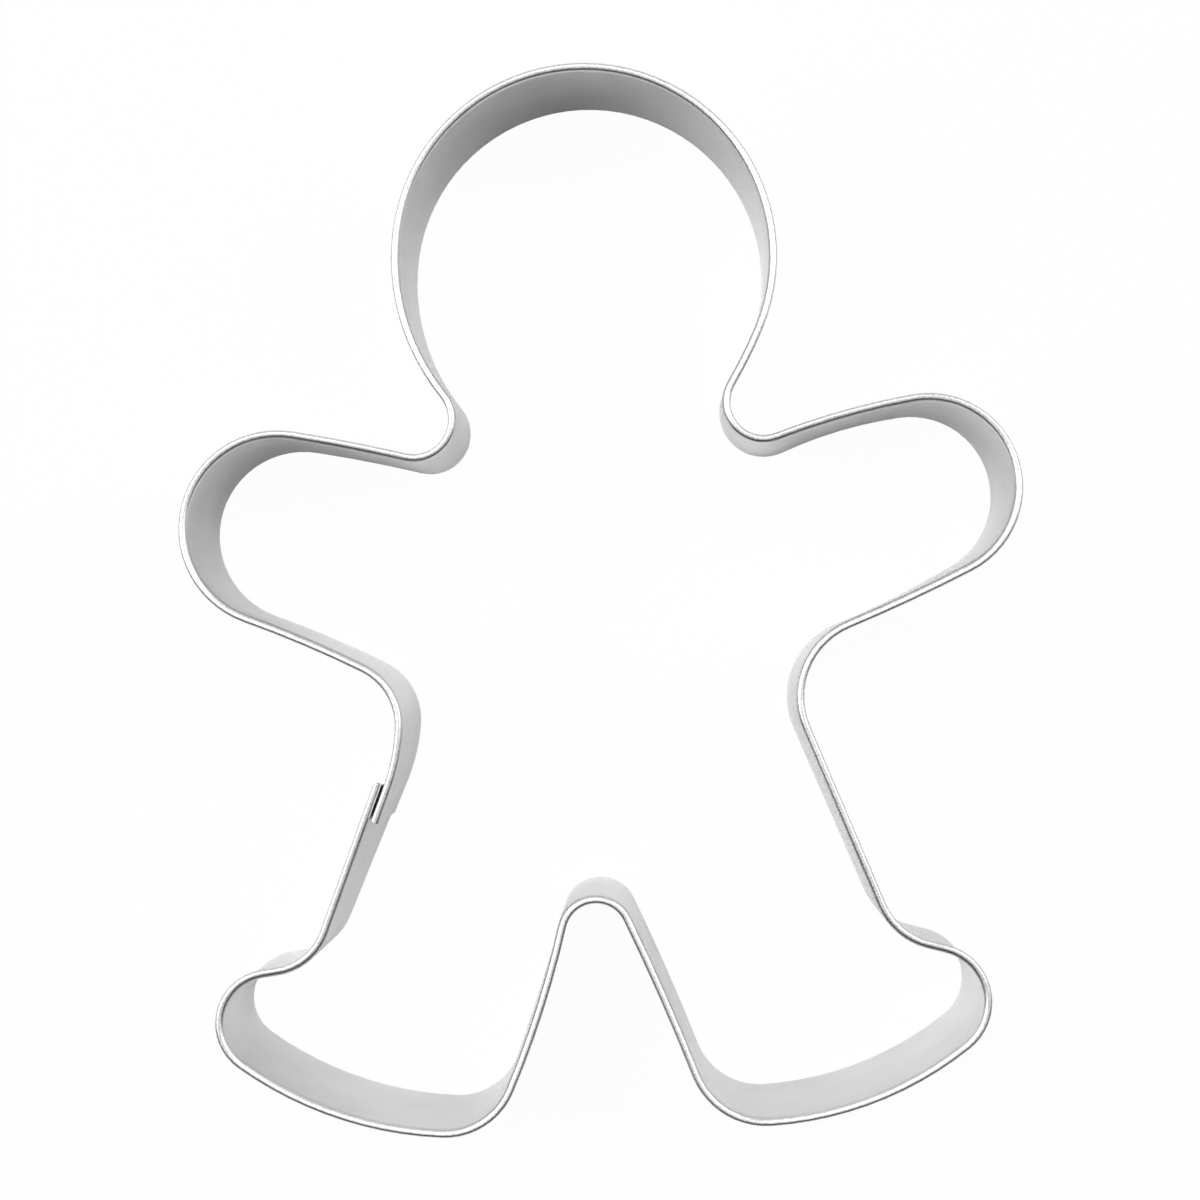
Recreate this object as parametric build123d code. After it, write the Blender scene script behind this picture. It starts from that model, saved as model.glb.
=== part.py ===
from build123d import *
from dataclasses import dataclass
import math
import os

# Gingerbread cookie cutter: one strip of sheet steel bent into a figure, with a rolled rim and a
# welded lap seam. Sizes are in millimetres. The head points towards +Y, and the cutting edge
# rests on z = 0. The figure's outline is that of the strip's inner face.

# The sheet, and the hem rolled outward along its upper edge: a wide shoulder that leads from the wall
# to the crest, and a tight fold beyond it. Both are drawn with flats, with fewer on the hidden face.
sheet_thickness = 0.3
wall_height = 25.0
hem_width = 1.1
hem_depth = 1.8
hem_mouth = 0.05
shoulder_radius = 0.65
shoulder_flat_count = 3
fold_flat_count = 4
hidden_shoulder_flat_count = 2
hidden_fold_flat_count = 1

# The lap seam on the left flank: how far it is above the ankle, and how far the flank's line passes
# the armpit before it bends to it
seam_rise = 15.7
armpit_ease = 0.8
lap_length = 4.95
lap_gap = 0.07
lap_height = 14.0
rim_gap = 0.22
corner_radius = 0.6

# The spot welds in the lap, and the marks that the electrode leaves outside
weld_count = 2
weld_diameter = 2.4
weld_penetration = 0.15
weld_clearance = 0.01
mark_diameter = 3.0
mark_depth = 0.05

# The figure is bent round pegs, placed one from the other down each side of the head. Each has its
# radius, the gap between it and the peg before, and the direction of that step in degrees.
head_radius = 24.05

left_neck_radius = 5.6
left_neck_gap = 1.12
left_neck_angle = 223.8
left_hand_radius = 11.8
left_hand_gap = 5.35
left_hand_angle = 218.9
left_armpit_radius = 8.9
left_armpit_gap = 5.98
left_armpit_angle = 286.3
left_ankle_radius = 8.3
left_ankle_gap = 8.61
left_ankle_angle = 250.3
left_heel_radius = 6.0
left_heel_gap = 0.15
left_heel_angle = 270.8
left_toe_radius = 8.6
left_toe_gap = 8.79
left_toe_angle = 347.2

right_neck_radius = 5.4
right_neck_gap = 0.67
right_neck_angle = 320.9
right_hand_radius = 11.2
right_hand_gap = 7.61
right_hand_angle = 332.7
right_armpit_radius = 10.8
right_armpit_gap = 6.06
right_armpit_angle = 256.6
right_ankle_radius = 9.45
right_ankle_gap = 4.87
right_ankle_angle = 290.0
right_heel_radius = 6.6
right_heel_gap = 0.17
right_heel_angle = 264.7
right_toe_radius = 9.2
right_toe_gap = 6.77
right_toe_angle = 195.0

# The crotch stands between the legs: above the middle of the two toes, and a little to its left
crotch_radius = 5.1
crotch_rise = 15.78
crotch_shift = 1.2

# Radii of the stretches between the pegs that are bowed, not straight
left_underarm_bow = 150.0
left_arm_bow = 200.0
left_cheek_slack = 3.85
right_cheek_bow = 60.0
right_arm_bow = 100.0
right_underarm_bow = 220.0
right_sole_bow = 45.0
right_inseam_bow = 300.0
left_inseam_bow = 130.0
left_sole_bow = 48.0

# The wall isn't quite upright: how its cutting edge differs from its rim
right_neck_flare = 0.8
right_neck_swing_angle = 2.2
right_neck_closing_share = 0.75
right_armpit_drop = 0.5
right_cheek_low_bow = 400.0
right_arm_low_bow = 60.0
right_underarm_low_bow = 130.0
left_inseam_low_bow = 350.0

INSIDE = 1
OUTSIDE = -1


def ahead(point, heading, distance):
    """The point at a distance from another, in the direction of a heading in radians."""
    return (point[0] + distance * math.cos(heading), point[1] + distance * math.sin(heading))


def bearing(start, end):
    """The heading from one point to another."""
    return math.atan2(end[1] - start[1], end[0] - start[0])


@dataclass
class Peg:
    """A round post that the strip goes round, clockwise where it stands inside the figure."""

    place: tuple
    radius: float = 0.0
    side: int = INSIDE


@dataclass
class Run:
    """A straight stretch of sheet."""

    start: tuple
    heading: float
    length: float

    def point(self, share, offset=0):
        """The point a share of the way along, moved to the left by an offset."""
        on_line = ahead(self.start, self.heading, share * self.length)
        return ahead(on_line, self.heading + math.pi / 2, offset)

    def edge(self, offset):
        return Edge.make_line(self.point(0, offset), self.point(1, offset))

    def carry(self, section):
        """The solid that a section makes along this stretch."""
        across = ahead((0, 0), self.heading + math.pi / 2, 1)
        forward = ahead((0, 0), self.heading, 1)
        plane = Plane(origin=(*self.start, 0), x_dir=(*across, 0), z_dir=(*forward, 0))
        return Solid.extrude(plane * section, plane.z_dir * self.length)


@dataclass
class Bend:
    """A stretch of sheet bent to a radius, to the right where its centre is INSIDE."""

    centre: tuple
    radius: float
    side: int
    first_angle: float
    last_angle: float

    @property
    def turn(self):
        return self.side * (self.first_angle - self.last_angle) % (2 * math.pi)

    def point(self, share, offset=0):
        """The point a share of the way round, moved to the left by an offset."""
        angle = self.first_angle - self.side * share * self.turn
        return ahead(self.centre, angle, self.radius + self.side * offset)

    def edge(self, offset):
        return Edge.make_three_point_arc(
            self.point(0, offset), self.point(1 / 2, offset), self.point(1, offset)
        )

    def carry(self, section):
        """The solid that a section makes round this bend."""
        outward = ahead((0, 0), self.first_angle, self.side)
        forward = ahead((0, 0), self.first_angle - math.pi / 2, self.side)
        plane = Plane(origin=(*self.point(0), 0), x_dir=(*outward, 0), z_dir=(*forward, 0))
        axis = Axis((*self.centre, 0), (0, 0, 1))
        return Solid.revolve(plane * section, -self.side * math.degrees(self.turn), axis)


def tangent(near, far):
    """The heading of the straight line that leaves one peg and meets the next."""
    lift = near.side * near.radius - far.side * far.radius
    return bearing(near.place, far.place) - math.asin(lift / math.dist(near.place, far.place))


def straight(near, far):
    """The straight stretch between two pegs."""
    heading = tangent(near, far)
    start = ahead(near.place, heading + math.pi / 2, near.side * near.radius)
    end = ahead(far.place, heading + math.pi / 2, far.side * far.radius)
    return Run(start, heading, math.dist(start, end))


def bowed(near, far, radius, side):
    """The stretch between two pegs that is bowed to a radius, with its centre on one side."""
    near_reach = radius - side * near.side * near.radius
    far_reach = radius - side * far.side * far.radius
    distance = math.dist(near.place, far.place)
    forward = (distance**2 + near_reach**2 - far_reach**2) / (2 * distance)
    sideways = math.sqrt(near_reach**2 - forward**2)
    way = bearing(near.place, far.place)
    centre = ahead(ahead(near.place, way, forward), way - math.pi / 2, side * sideways)
    return Bend(centre, radius, side, bearing(centre, near.place), bearing(centre, far.place))


def bent_towards(start, heading, far):
    """The bend to the left that goes on from a point and runs into an outside peg."""
    left = heading + math.pi / 2
    distance = math.dist(start, far.place)
    leftward = distance * math.cos(bearing(start, far.place) - left)
    radius = (distance**2 - far.radius**2) / (2 * (leftward - far.radius))
    centre = ahead(start, left, radius)
    return Bend(centre, radius, OUTSIDE, left + math.pi, bearing(centre, far.place))


def blend(rim_radius, low_radius, low):
    """The radius part of the way from the rim to the cutting edge, mixed by curvature."""
    return 1 / ((1 - low) / rim_radius + low / low_radius)


def peg_after(previous, side, radius, gap, angle):
    """The peg that leaves a gap to the one before it, in a direction in degrees."""
    distance = previous.radius + gap + radius
    return Peg(ahead(previous.place, math.radians(angle), distance), radius, side)


def chain(head, steps):
    """The pegs placed one after the other from the head, with their names."""
    pegs = {}
    peg = head
    for name, *step in steps:
        peg = peg_after(peg, *step)
        pegs[name] = peg
    return pegs


def figure_pegs(low):
    """All the pegs by name; low is 0 at the rim and 1 at the cutting edge."""
    head = Peg((0, 0), head_radius)
    pegs = {"head": head}
    pegs |= chain(head, [
        ("left neck", OUTSIDE, left_neck_radius, left_neck_gap, left_neck_angle),
        ("left hand", INSIDE, left_hand_radius, left_hand_gap, left_hand_angle),
        ("left armpit", OUTSIDE, left_armpit_radius, left_armpit_gap, left_armpit_angle),
        ("left ankle", OUTSIDE, left_ankle_radius, left_ankle_gap, left_ankle_angle),
        ("left heel", INSIDE, left_heel_radius, left_heel_gap, left_heel_angle),
        ("left toe", INSIDE, left_toe_radius, left_toe_gap, left_toe_angle),
    ])
    pegs |= chain(head, [
        ("right neck", OUTSIDE, right_neck_radius, right_neck_gap, right_neck_angle),
        ("right hand", INSIDE, right_hand_radius, right_hand_gap, right_hand_angle),
        ("right armpit", OUTSIDE, right_armpit_radius, right_armpit_gap, right_armpit_angle),
        ("right ankle", OUTSIDE, right_ankle_radius, right_ankle_gap, right_ankle_angle),
        ("right heel", INSIDE, right_heel_radius, right_heel_gap, right_heel_angle),
        ("right toe", INSIDE, right_toe_radius, right_toe_gap, right_toe_angle),
    ])

    left_toe = pegs["left toe"].place
    right_toe = pegs["right toe"].place
    crotch_x = (left_toe[0] + right_toe[0]) / 2 - crotch_shift
    crotch_y = (left_toe[1] + right_toe[1]) / 2 + crotch_rise
    pegs["crotch"] = Peg((crotch_x, crotch_y), crotch_radius, OUTSIDE)

    # Pegs lean on the right side alone: lower down, the neck's is wider and closer to the head, and
    # the armpit's is nearer to the feet
    flared_radius = right_neck_radius + low * right_neck_flare
    closed_gap = right_neck_gap * (1 - low * right_neck_closing_share)
    swung_angle = right_neck_angle + low * right_neck_swing_angle
    pegs["right neck"] = peg_after(head, OUTSIDE, flared_radius, closed_gap, swung_angle)
    armpit_x, armpit_y = pegs["right armpit"].place
    pegs["right armpit"].place = (armpit_x, armpit_y - low * right_armpit_drop)
    return pegs


def figure_bows(low):
    """The bowed stretches by the peg that they lead to: the radius, and the side of the centre."""
    return {
        "left hand": (left_underarm_bow, OUTSIDE),
        "left neck": (left_arm_bow, INSIDE),
        "head": (head_radius + left_cheek_slack, INSIDE),
        "right neck": (blend(right_cheek_bow, right_cheek_low_bow, low), INSIDE),
        "right hand": (blend(right_arm_bow, right_arm_low_bow, low), INSIDE),
        "right armpit": (blend(right_underarm_bow, right_underarm_low_bow, low), INSIDE),
        "right toe": (right_sole_bow, INSIDE),
        "crotch": (right_inseam_bow, OUTSIDE),
        "left toe": (blend(left_inseam_bow, left_inseam_low_bow, low), INSIDE),
        "left heel": (left_sole_bow, INSIDE),
    }


# The order in which the strip goes round the pegs, from the end that lies inside the lap
ROUND = [
    "left armpit", "left hand", "left neck", "head", "right neck", "right hand", "right armpit",
    "right ankle", "right heel", "right toe", "crotch", "left toe", "left heel", "left ankle",
]


def strip_path(low, strand_offset):
    """The strip's stretches, from the end inside the lap round to the end outside it."""
    pegs = figure_pegs(low)
    bows = figure_bows(low)
    armpit = pegs["left armpit"]
    ankle = pegs["left ankle"]

    # In the lap the two strands run side by side along the straight line of the flank
    guide = Peg(ankle.place, ankle.radius + strand_offset, OUTSIDE)
    flank = straight(guide, Peg(armpit.place, armpit.radius + armpit_ease, OUTSIDE))
    lap = Run(ahead(flank.start, flank.heading, seam_rise), flank.heading, lap_length)
    end = Peg(lap.point(1, strand_offset))

    around = [pegs[name] for name in ROUND]
    stretches = [bent_towards(lap.point(1), lap.heading, armpit)]
    for near, far, name in zip(around, around[1:] + [end], ROUND[1:] + [None]):
        bow = bows.get(name)
        stretches.append(bowed(near, far, *bow) if bow else straight(near, far))

    path = [lap]
    for peg, arriving, leaving in zip(around, stretches, stretches[1:]):
        first_angle = bearing(peg.place, arriving.point(1))
        last_angle = bearing(peg.place, leaving.point(0))
        path += [arriving, Bend(peg.place, peg.radius, peg.side, first_angle, last_angle)]
    return path + [stretches[-1]]


def outline(path):
    """The closed outline of the sheet that lies to the left of a path."""
    near = [stretch.edge(0) for stretch in path]
    far = [stretch.edge(sheet_thickness) for stretch in path]
    first_cap = Edge.make_line(path[0].point(0), path[0].point(0, sheet_thickness))
    last_cap = Edge.make_line(path[-1].point(1), path[-1].point(1, sheet_thickness))
    return Wire(near + [last_cap] + far[::-1] + [first_cap])


def hem_section(bottom):
    """The section of the hem, with X outward from the wall's inner face and Y up."""
    fold_radius = hem_width - shoulder_radius
    shoulder_centre = (shoulder_radius, wall_height - shoulder_radius)
    fold_centre = (shoulder_radius, wall_height - fold_radius)
    tip = Peg((sheet_thickness + hem_mouth, wall_height - hem_depth))
    leg = straight(Peg(fold_centre, fold_radius - sheet_thickness), tip)
    rise = Run((sheet_thickness, bottom), math.pi / 2, shoulder_centre[1] - bottom)
    crest = math.pi / 2
    shoulder = Bend(shoulder_centre, shoulder_radius - sheet_thickness, INSIDE, math.pi, crest)
    fold_end = bearing(fold_centre, leg.start)
    fold = Bend(fold_centre, fold_radius - sheet_thickness, INSIDE, crest, fold_end)

    def face_points(offset, shoulder_count, fold_count):
        points = [rise.point(0, offset)]
        points += [shoulder.point(index / shoulder_count, offset) for index in range(shoulder_count)]
        points += [fold.point(index / fold_count, offset) for index in range(fold_count + 1)]
        return points + [leg.point(1, offset)]

    hidden_face = face_points(0, hidden_shoulder_flat_count, hidden_fold_flat_count)
    shown_face = face_points(sheet_thickness, shoulder_flat_count, fold_flat_count)
    return Face(Wire.make_polygon(hidden_face + shown_face[::-1], close=True))


def make_wall(hem_bottom):
    """The strip below its hem; the strands touch near the cutting edge and part above it."""
    contact_offset = sheet_thickness + lap_gap
    levels = [
        (0, contact_offset),
        (lap_height, contact_offset),
        (hem_bottom, hem_width + rim_gap),
    ]
    outlines = [
        Pos(0, 0, height) * outline(strip_path(1 - height / hem_bottom, offset))
        for height, offset in levels
    ]
    return Solid.make_loft(outlines, ruled=True)


def corner_trim(stretch, share, hem_bottom):
    """What is cut off the hem's outer corner, at the first (share 0) or last (share 1) end."""
    along = 1 if share else -1
    corner = stretch.point(share, hem_width)
    plane = Plane(
        origin=(*corner, hem_bottom),
        x_dir=(*ahead((0, 0), stretch.heading, -along), 0),
        z_dir=(0, 0, along),
    )
    size = corner_radius
    offcut = Pos(size / 2, size / 2) * Rectangle(size, size) - Pos(size, size) * Circle(size)
    return extrude(plane * offcut, amount=along * (wall_height - hem_bottom))


def make_hem(hem_bottom):
    """The rolled hem that follows the rim, with its outer corners trimmed round at both ends."""
    path = strip_path(0, hem_width + rim_gap)
    section = hem_section(hem_bottom)
    pieces = [stretch.carry(section) for stretch in path]
    trims = [corner_trim(path[0], 0, hem_bottom), corner_trim(path[-1], 1, hem_bottom)]
    return pieces[0].fuse(*pieces[1:]).cut(*trims)


def weld_planes():
    """A plane on the inner face at each weld, facing outward through the lap."""
    lap = strip_path(1, sheet_thickness + lap_gap)[0]
    outward = (*ahead((0, 0), lap.heading + math.pi / 2, 1), 0)
    for index in range(weld_count):
        height = lap_height * (index + 1 / 2) / weld_count
        yield Plane(origin=(*lap.point(1 / 2), height), z_dir=outward)


def make_nugget(plane, clearance=0):
    """The metal melted together across the gap, or with a clearance, the seat for it in both sheets."""
    start = sheet_thickness - weld_penetration - clearance
    depth = lap_gap + 2 * (weld_penetration + clearance)
    return plane * Pos(0, 0, start) * Solid.make_cylinder(weld_diameter / 2 + clearance, depth)


def make_mark(plane):
    """The shallow dent that the electrode leaves in the lap's outer face."""
    outer_face = 2 * sheet_thickness + lap_gap
    return plane * Pos(0, 0, outer_face - mark_depth) * Solid.make_cylinder(mark_diameter / 2, mark_depth)


wall_top = wall_height - hem_depth - sheet_thickness
nuggets = [make_nugget(plane) for plane in weld_planes()]
seats = [make_nugget(plane, weld_clearance) for plane in weld_planes()]
marks = [make_mark(plane) for plane in weld_planes()]
band = make_wall(wall_top).fuse(make_hem(wall_top)).cut(*seats, *marks)

# The origin is the middle of the finished outline, at the cutting edge
middle = band.bounding_box().center()
to_origin = Pos(-middle.X, -middle.Y, 0)

parts = {
    "cutter_band": to_origin * band,
    "spot_welds": Compound([to_origin * nugget for nugget in nuggets]),
}
os.makedirs("parts", exist_ok=True)
for name, part in parts.items():
    export_step(part, f"parts/{name}.step")

box = parts["cutter_band"].bounding_box()
print(f"outline {box.size.X:.2f} x {box.size.Y:.2f} x {box.size.Z:.2f} mm")
print(f"shifted by {-middle.X:.3f}, {-middle.Y:.3f} mm")
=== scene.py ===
import math

import bpy
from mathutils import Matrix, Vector


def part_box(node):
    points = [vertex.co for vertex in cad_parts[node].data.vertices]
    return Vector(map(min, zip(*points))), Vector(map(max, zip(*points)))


# %% [markdown]
# A gingerbread figure cutter is one strip of thin tinned steel. It is bent round pegs into the outline
# of a figure, its two ends are lapped and spot-welded on one flank, and its upper edge is rolled
# outward so that it doesn't cut the hand. The construction model already has these shapes at their
# real size. So nothing is modelled again here: the strip gets its finish, and stands in a small studio.

# %% The fixed frame
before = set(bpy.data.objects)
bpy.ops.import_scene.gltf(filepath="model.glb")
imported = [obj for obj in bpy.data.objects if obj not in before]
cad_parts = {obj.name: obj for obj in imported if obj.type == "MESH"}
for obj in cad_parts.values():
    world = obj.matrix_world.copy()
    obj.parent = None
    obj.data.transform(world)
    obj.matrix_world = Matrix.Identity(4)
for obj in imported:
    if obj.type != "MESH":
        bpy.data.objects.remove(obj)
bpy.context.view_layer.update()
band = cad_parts["cutter_band"]
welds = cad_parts["spot_welds"]
rim_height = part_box("cutter_band")[1].z
print("rim height", round(rim_height, 5), "m")

# %% [markdown]
# The picture is taken from straight above, close to the rim, so the walls lean outward in it. How far
# they lean gives the camera's height: the rim is 330 mm away, and the frame is 156 mm wide there. The
# lens stands a little to the right of the figure's middle and towards its feet, and a small shift
# centres the picture.

# %% The camera
camera_distance = 0.330
frame_width = 0.156
camera_place = Vector((0.00817, -0.00406))
picture_middle = Vector((-0.00009, 0.00004))
sensor_width = 36.0

camera = bpy.data.objects.new("camera", bpy.data.cameras.new("camera"))
bpy.context.scene.collection.objects.link(camera)
camera.location = (camera_place.x, camera_place.y, rim_height + camera_distance)
camera.data.sensor_width = sensor_width
camera.data.lens = sensor_width * camera_distance / frame_width
camera.data.shift_x = (picture_middle.x - camera_place.x) / frame_width
camera.data.shift_y = (picture_middle.y - camera_place.y) / frame_width
bpy.context.scene.camera = camera
print("lens", round(camera.data.lens, 2), "mm")

# %% [markdown]
# The construction model draws bends and the rolled rim with flats, and each flat has its own corners.
# A subdivision would round them, but it would also pull the flat walls out of true. Modifiers that
# leave the shape alone are safer. Weld joins the corners that lie in one place, Edge Split opens the
# true edges again, such as the cutting edge, and Weighted Normal smooths the rest. Large faces keep
# their own direction there, so that the wall looks flat up to the roll.

# %% Smooth bends and crisp edges
weld_distance = 0.000002
true_edge_angle = math.radians(45)


def smooth_bends(piece):
    """Smooths all but the true edges of a piece, with modifiers alone."""
    for face in piece.data.polygons:
        face.use_smooth = True
    piece.modifiers.new("joined_corners", "WELD").merge_threshold = weld_distance
    piece.modifiers.new("true_edges", "EDGE_SPLIT").split_angle = true_edge_angle
    piece.modifiers.new("smooth_bends", "WEIGHTED_NORMAL").mode = "FACE_AREA_WITH_ANGLE"


for piece in (band, welds):
    smooth_bends(piece)
    print(piece.name, "has", len(piece.modifiers), "modifiers")

# %% [markdown]
# Metal as plain as this lives from small differences, and they are all sums of soft noise. Shader
# maths reads best as sums too: Value wraps one output socket, and each operator adds a Math node.

# %% Sums of shader values


class Value:
    """One output socket that can be used in sums."""

    def __init__(self, shading, socket):
        self.shading = shading
        self.socket = socket

    def maths(self, operation, other):
        """A Math node on this output and another one, or a number."""
        return self.shading.add("ShaderNodeMath", {"operation": operation}, {0: self, 1: other})

    def __add__(self, other):
        return self.maths("ADD", other)

    def __mul__(self, other):
        return self.maths("MULTIPLY", other)

    __radd__ = __add__
    __rmul__ = __mul__


print("sums ready")

# %% [markdown]
# Shading holds the nodes of one material. Its add method makes any node from its type, its settings
# and what goes into its sockets, and the other methods are the few nodes that this cutter needs often.
# Most sockets are found by name. Mix has sockets of one name for numbers, vectors and colours, and
# those for colours are found by their place.

# %% The nodes of a material
mix_first = 6
mix_second = 7
mix_result = 2


class Shading:
    """The nodes of one material or of the world."""

    def __init__(self, owner):
        owner.use_nodes = True
        self.tree = owner.node_tree
        self.tree.nodes.clear()

    def connect(self, node, inputs):
        for name, value in inputs.items():
            socket = node.inputs[name]
            if isinstance(value, Value):
                self.tree.links.new(value.socket, socket)
            else:
                socket.default_value = value

    def add(self, kind, settings=None, inputs=None, output=0):
        """Adds a node and gives one of its outputs."""
        node = self.tree.nodes.new(kind)
        for name, value in (settings or {}).items():
            setattr(node, name, value)
        self.connect(node, inputs or {})
        return Value(self, node.outputs[output])

    def finish(self, kind, surface):
        """Adds the output node."""
        self.connect(self.tree.nodes.new(kind), {"Surface": surface})

    def ray(self, kind):
        """1 for a ray of this kind, and 0 for any other."""
        return self.add("ShaderNodeLightPath", None, None, kind)

    def stretched(self, place, scale):
        """A place times a scale for each axis, which draws a pattern out along the small ones."""
        return self.add("ShaderNodeVectorMath", {"operation": "MULTIPLY"}, {0: place, 1: scale})

    def noise(self, place, scale, detail):
        """Soft noise from 0 to 1, with its middle at a half."""
        return self.add("ShaderNodeTexNoise", None, {"Vector": place, "Scale": scale, "Detail": detail})

    def grade(self, value, from_low, from_high, to_low=0.0, to_high=1.0):
        """The value moved from one range to another, and held inside it."""
        ends = {"From Min": from_low, "From Max": from_high, "To Min": to_low, "To Max": to_high}
        return self.add("ShaderNodeMapRange", None, {"Value": value, **ends})

    def mixed(self, share, first, second):
        """A colour that goes from the first to the second as the share goes from 0 to 1."""
        inputs = {"Factor": share, mix_first: first, mix_second: second}
        return self.add("ShaderNodeMix", {"data_type": "RGBA"}, inputs, mix_result)

    def bump(self, height, distance, normal=None):
        """A normal tilted by a height from 0 to 1, where 1 stands a distance in metres out."""
        inputs = {"Height": height, "Distance": distance, "Strength": 1.0}
        if normal is not None:
            inputs["Normal"] = normal
        return self.add("ShaderNodeBump", None, inputs)


def grey(level):
    """A plain grey."""
    return (level, level, level, 1)


print("nodes ready")

# %% [markdown]
# The sheet is cold-rolled steel with a thin coat of tin: a satin grey metal, the same on both faces.
# Rolling leaves faint streaks along the strip, which lie level because the strip stands on its edge.
# An image of brushed metal would need a seamless unwrapping, so the streaks are noise instead, in the
# object's own coordinates, fine in height and long in the two level directions. A second noise gives
# the clouds of the tin, a third its grit, and a fourth the slight waves of a sheet bent by hand. The
# detail says how much finer noise lies over each one. Noise seldom comes near 0 or 1, so it is graded
# from the range that most of it fills.

# %% Patterns of the tin
streak_scale = Vector((60, 60, 2600))
cloud_scale = 110
grit_scale = 6500
wave_scale = 55
low_detail = 1.0
some_detail = 2.0
high_detail = 3.0
noise_low = 0.35
noise_high = 0.65


def tin_patterns(shading, place):
    """The noises of the sheet by name."""
    level_place = shading.stretched(place, streak_scale)
    return {
        "streaks": shading.noise(level_place, 1.0, high_detail),
        "clouds": shading.noise(place, cloud_scale, high_detail),
        "grit": shading.noise(place, grit_scale, some_detail),
        "waves": shading.noise(place, wave_scale, low_detail),
    }


print("grit of", round(1000 / grit_scale, 2), "mm in clouds of", round(1000 / cloud_scale), "mm")

# %% [markdown]
# The colour of a metal is that of what it mirrors, times its own grey, so the grey stays light and
# changes little: by the clouds and streaks, and a little by the grit. The palm presses on the rolled
# rim, so its crest is rubbed and shows fine dull specks. The crest follows from the height alone: its
# mask goes from 0 on the wall to 1 over a short fade.

# %% Colour of the tin
tin_dull = grey(0.69)
tin_bright = grey(0.81)
streak_share = 0.3
grit_share = 0.34
crest_depth = 0.00012
crest_fade = 0.00018
speck_scale = 3200
rubbed_dull = grey(0.49)
rubbed_bright = grey(0.68)


def crest_mask(shading, place):
    """How much of the rubbed crest a point has."""
    height = shading.add("ShaderNodeSeparateXYZ", None, {0: place}, "Z")
    crest_foot = rim_height - crest_depth
    return shading.grade(height, crest_foot - crest_fade, crest_foot)


def tin_colour(shading, place, patterns):
    """The colour of the sheet, and of the rubbed crest on top of it."""
    cloudy = streak_share * patterns["streaks"] + (1 - streak_share) * patterns["clouds"]
    soft = shading.grade(cloudy, noise_low, noise_high)
    grit = shading.grade(patterns["grit"], noise_low, noise_high)
    tin = shading.mixed((1 - grit_share) * soft + grit_share * grit, tin_dull, tin_bright)
    specks = shading.grade(shading.noise(place, speck_scale, low_detail), noise_low, noise_high)
    rubbed = shading.mixed(specks, rubbed_dull, rubbed_bright)
    return shading.mixed(crest_mask(shading, place), tin, rubbed)


print("specks of", round(1000 / speck_scale, 2), "mm on the top", crest_depth * 1000, "mm of the rim")

# %% [markdown]
# Roughness says how blurred the mirrored room is. The satin sheet blurs it a good deal, and unevenly,
# by the same clouds and streaks. Two bumps tilt the surface a little: on metal, waves of less than a
# tenth of a millimetre already move what it mirrors, and the streaks need only a thousandth.

# %% Tinned steel
satin_low = 0.28
satin_high = 0.34
wave_depth = 0.00008
streak_depth = 0.0000012


def tinned_steel():
    """The satin metal of the sheet."""
    material = bpy.data.materials.new("tinned_steel")
    shading = Shading(material)
    place = shading.add("ShaderNodeTexCoord", None, None, "Object")
    patterns = tin_patterns(shading, place)
    mean = 0.5 * (patterns["clouds"] + patterns["streaks"])
    waves = shading.bump(patterns["waves"], wave_depth)
    steel = shading.add(
        "ShaderNodeBsdfPrincipled",
        None,
        {
            "Base Color": tin_colour(shading, place, patterns),
            "Metallic": 1.0,
            "Roughness": shading.grade(mean, noise_low, noise_high, satin_low, satin_high),
            "Normal": shading.bump(patterns["streaks"], streak_depth, waves),
        },
    )
    shading.finish("ShaderNodeOutputMaterial", steel)
    print("tinned steel has", len(shading.tree.nodes), "nodes")
    return material


# %% [markdown]
# The spot welds are small nuggets of metal that melted and set again between the two ends. They are
# darker, rougher and a little warmer in colour than the sheet, with fine crystals. Little of them is
# seen, so one noise for colour, roughness and height is enough.

# %% Weld metal
crystal_scale = 4000
crystal_height = 0.00001
weld_dark = (0.32, 0.31, 0.30, 1)
weld_light = (0.48, 0.47, 0.45, 1)
weld_smoothest = 0.45
weld_roughest = 0.6


def weld_metal():
    """The dull metal of the nuggets."""
    material = bpy.data.materials.new("weld_metal")
    shading = Shading(material)
    place = shading.add("ShaderNodeTexCoord", None, None, "Object")
    crystals = shading.noise(place, crystal_scale, high_detail)
    metal = shading.add(
        "ShaderNodeBsdfPrincipled",
        None,
        {
            "Base Color": shading.mixed(crystals, weld_dark, weld_light),
            "Metallic": 1.0,
            "Roughness": shading.grade(crystals, noise_low, noise_high, weld_smoothest, weld_roughest),
            "Normal": shading.bump(crystals, crystal_height),
        },
    )
    shading.finish("ShaderNodeOutputMaterial", metal)
    print("weld metal has", len(shading.tree.nodes), "nodes")
    return material


# %% [markdown]
# Each piece has one finish all over, as the real ones have, so its material slots are emptied and get
# the new material alone.

# %% Give each piece its finish


def dress(piece, material):
    """Gives a piece one material."""
    piece.data.materials.clear()
    piece.data.materials.append(material)
    print(piece.name, "has", material.name)


dress(band, tinned_steel())
dress(welds, weld_metal())

# %% [markdown]
# The cutter stands on a white table. Its colour takes the light and keeps the cutter's shadow, which
# the walls mirror. For the camera, and through anything clear, a large share of plain white is mixed
# in, so that the table shows as the white of a packshot without more light on the metal.

# %% The table
table_half = 3.0
table_drop = 0.00002
table_grey = grey(0.92)
camera_white = 0.97


def stage_mesh(name, corners, faces, material):
    """A piece of the studio."""
    mesh = bpy.data.meshes.new(name)
    mesh.from_pydata(corners, [], faces)
    mesh.materials.append(material)
    piece = bpy.data.objects.new(name, mesh)
    bpy.context.scene.collection.objects.link(piece)
    return piece


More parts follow.
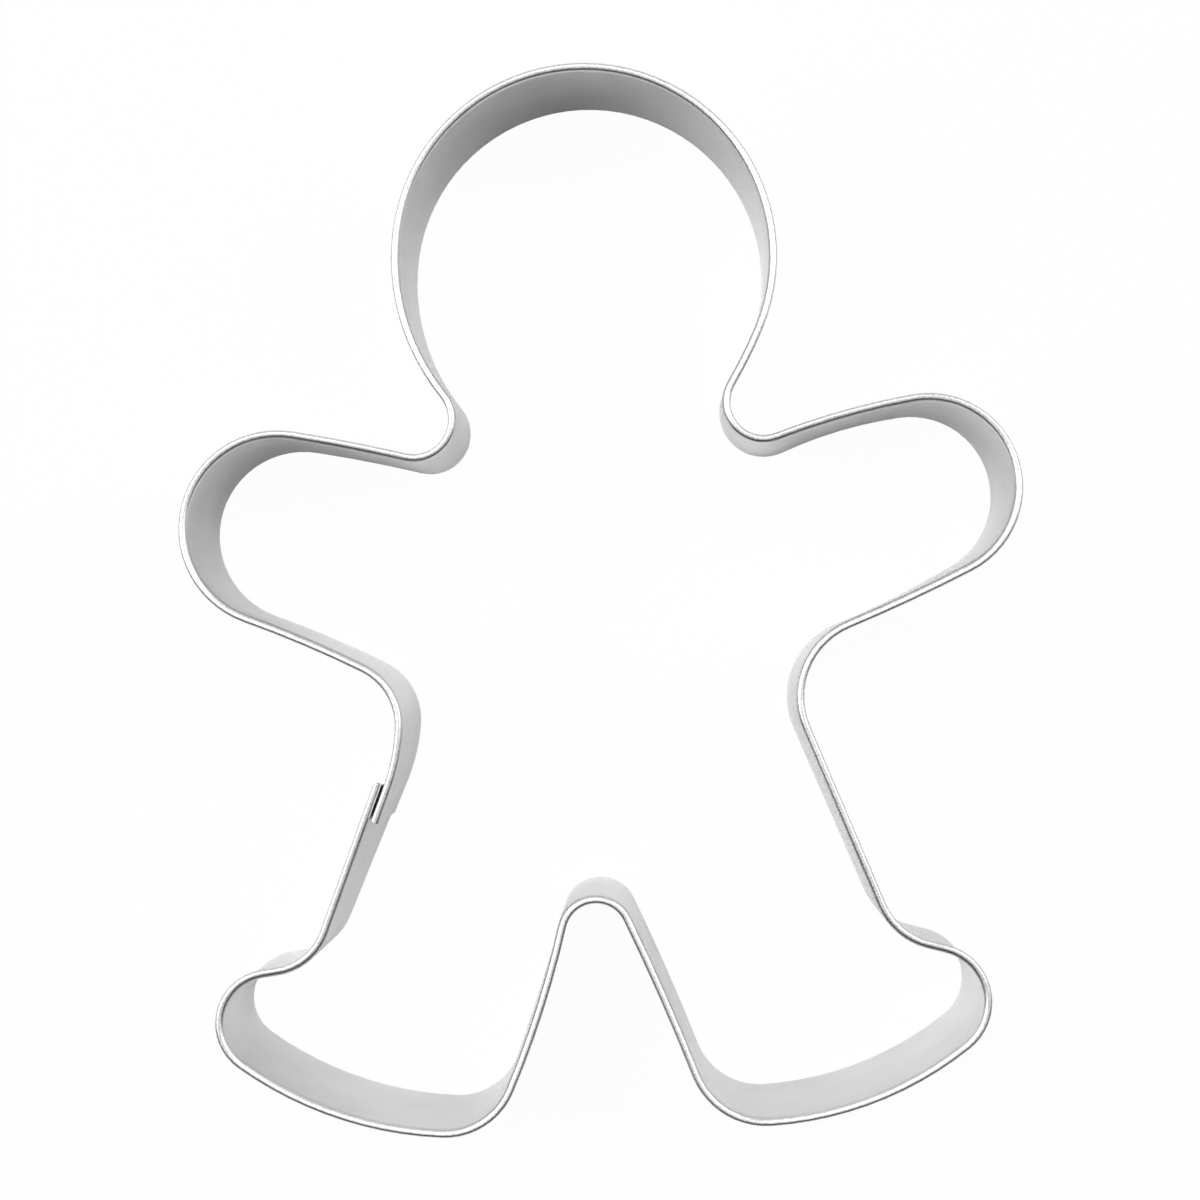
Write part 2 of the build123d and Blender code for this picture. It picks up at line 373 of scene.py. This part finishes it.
def table_white():
    """White that keeps a trace of the shadow."""
    material = bpy.data.materials.new("table_white")
    shading = Shading(material)
    lit = shading.add("ShaderNodeBsdfDiffuse", None, {"Color": table_grey})
    white = shading.add("ShaderNodeEmission", None, {"Strength": 1.0})
    share = (shading.ray("Is Camera Ray") + shading.ray("Is Transmission Ray")) * camera_white
    surface = shading.add("ShaderNodeMixShader", None, {0: share, 1: lit, 2: white})
    shading.finish("ShaderNodeOutputMaterial", surface)
    return material


table_corners = [
    (-table_half, -table_half, -table_drop),
    (table_half, -table_half, -table_drop),
    (table_half, table_half, -table_drop),
    (-table_half, table_half, -table_drop),
]
stage_mesh("table", table_corners, [(0, 1, 2, 3)], table_white())
print("table", 2 * table_half, "m wide")

# %% [markdown]
# Metal shows its lamps, so they are few and large. One hangs high beyond the head, a little to the
# left. Two stand lower beyond the arms, right and left, and make the flanks and the feet light. Each
# faces the cutter, and its radiance is that of its face, so that lamps of any size compare.

# %% Three soft lamps
lamp_distance = 0.9


def soft_lamp(name, azimuth, elevation, width, height, radiance):
    """A soft lamp that faces the cutter, with angles in degrees, sizes in metres, and 1 for white."""
    data = bpy.data.lights.new(name, "AREA")
    data.shape = "RECTANGLE"
    data.size = width
    data.size_y = height
    data.energy = radiance * math.pi * width * height
    lamp = bpy.data.objects.new(name, data)
    turn = math.radians(azimuth)
    rise = math.radians(elevation)
    direction = Vector((math.cos(rise) * math.cos(turn), math.cos(rise) * math.sin(turn), math.sin(rise)))
    lamp.location = direction * lamp_distance
    lamp.rotation_euler = direction.to_track_quat("Z", "Y").to_euler()
    bpy.context.scene.collection.objects.link(lamp)
    print(name, "shines", round(data.energy, 2), "W")


soft_lamp("head_lamp", azimuth=120, elevation=66, width=0.5, height=0.5, radiance=2.86)
soft_lamp("right_lamp", azimuth=28, elevation=45, width=0.5, height=0.5, radiance=3.95)
soft_lamp("left_lamp", azimuth=165, elevation=45, width=0.83, height=0.5, radiance=3.25)

# %% [markdown]
# A white room alone would leave the metal without contrast. So a curtain of dark felt stands round the
# side of the feet, and the rim mirrors it as a dark outer line below the feet. It is tall in the
# middle and low at its ends, so that the line fades along the sides. The camera doesn't see it.

# %% The felt curtain
felt_radius = 0.6
felt_height = 0.75
felt_reach = math.radians(80)
felt_parts = 12
felt_grey = grey(0.04)

felt = bpy.data.materials.new("dark_felt")
felt_shading = Shading(felt)
felt_surface = felt_shading.add("ShaderNodeBsdfDiffuse", None, {"Color": felt_grey})
felt_shading.finish("ShaderNodeOutputMaterial", felt_surface)

felt_corners = []
for index in range(felt_parts + 1):
    aside = felt_reach * (2 * index / felt_parts - 1)
    foot = (felt_radius * math.sin(aside), -felt_radius * math.cos(aside))
    felt_corners += [(*foot, 0), (*foot, felt_height * math.sqrt(math.cos(aside)))]
felt_faces = [(2 * i, 2 * i + 2, 2 * i + 3, 2 * i + 1) for i in range(felt_parts)]
felt_curtain = stage_mesh("felt_curtain", felt_corners, felt_faces, felt)
felt_curtain.visible_camera = False
print("felt curtain", felt_height, "m high")

# %% [markdown]
# The room is white where it is seen, mirrored or looked at through something, and dim as a light, so
# that the cutter keeps soft shadows round its walls. Only the Standard view shows a colour as written.

# %% The white room
room_level = 0.12
room_white = grey(1)

world = bpy.data.worlds.new("white_room")
bpy.context.scene.world = world
room = Shading(world)
room_share = room.ray("Is Camera Ray") + room.ray("Is Glossy Ray") + room.ray("Is Transmission Ray")
room_strength = (1 - room_level) * room_share + room_level
room_light = room.add("ShaderNodeBackground", None, {"Color": room_white, "Strength": room_strength})
room.finish("ShaderNodeOutputWorld", room_light)
bpy.context.scene.view_settings.view_transform = "Standard"
print("room lit at", room_level)
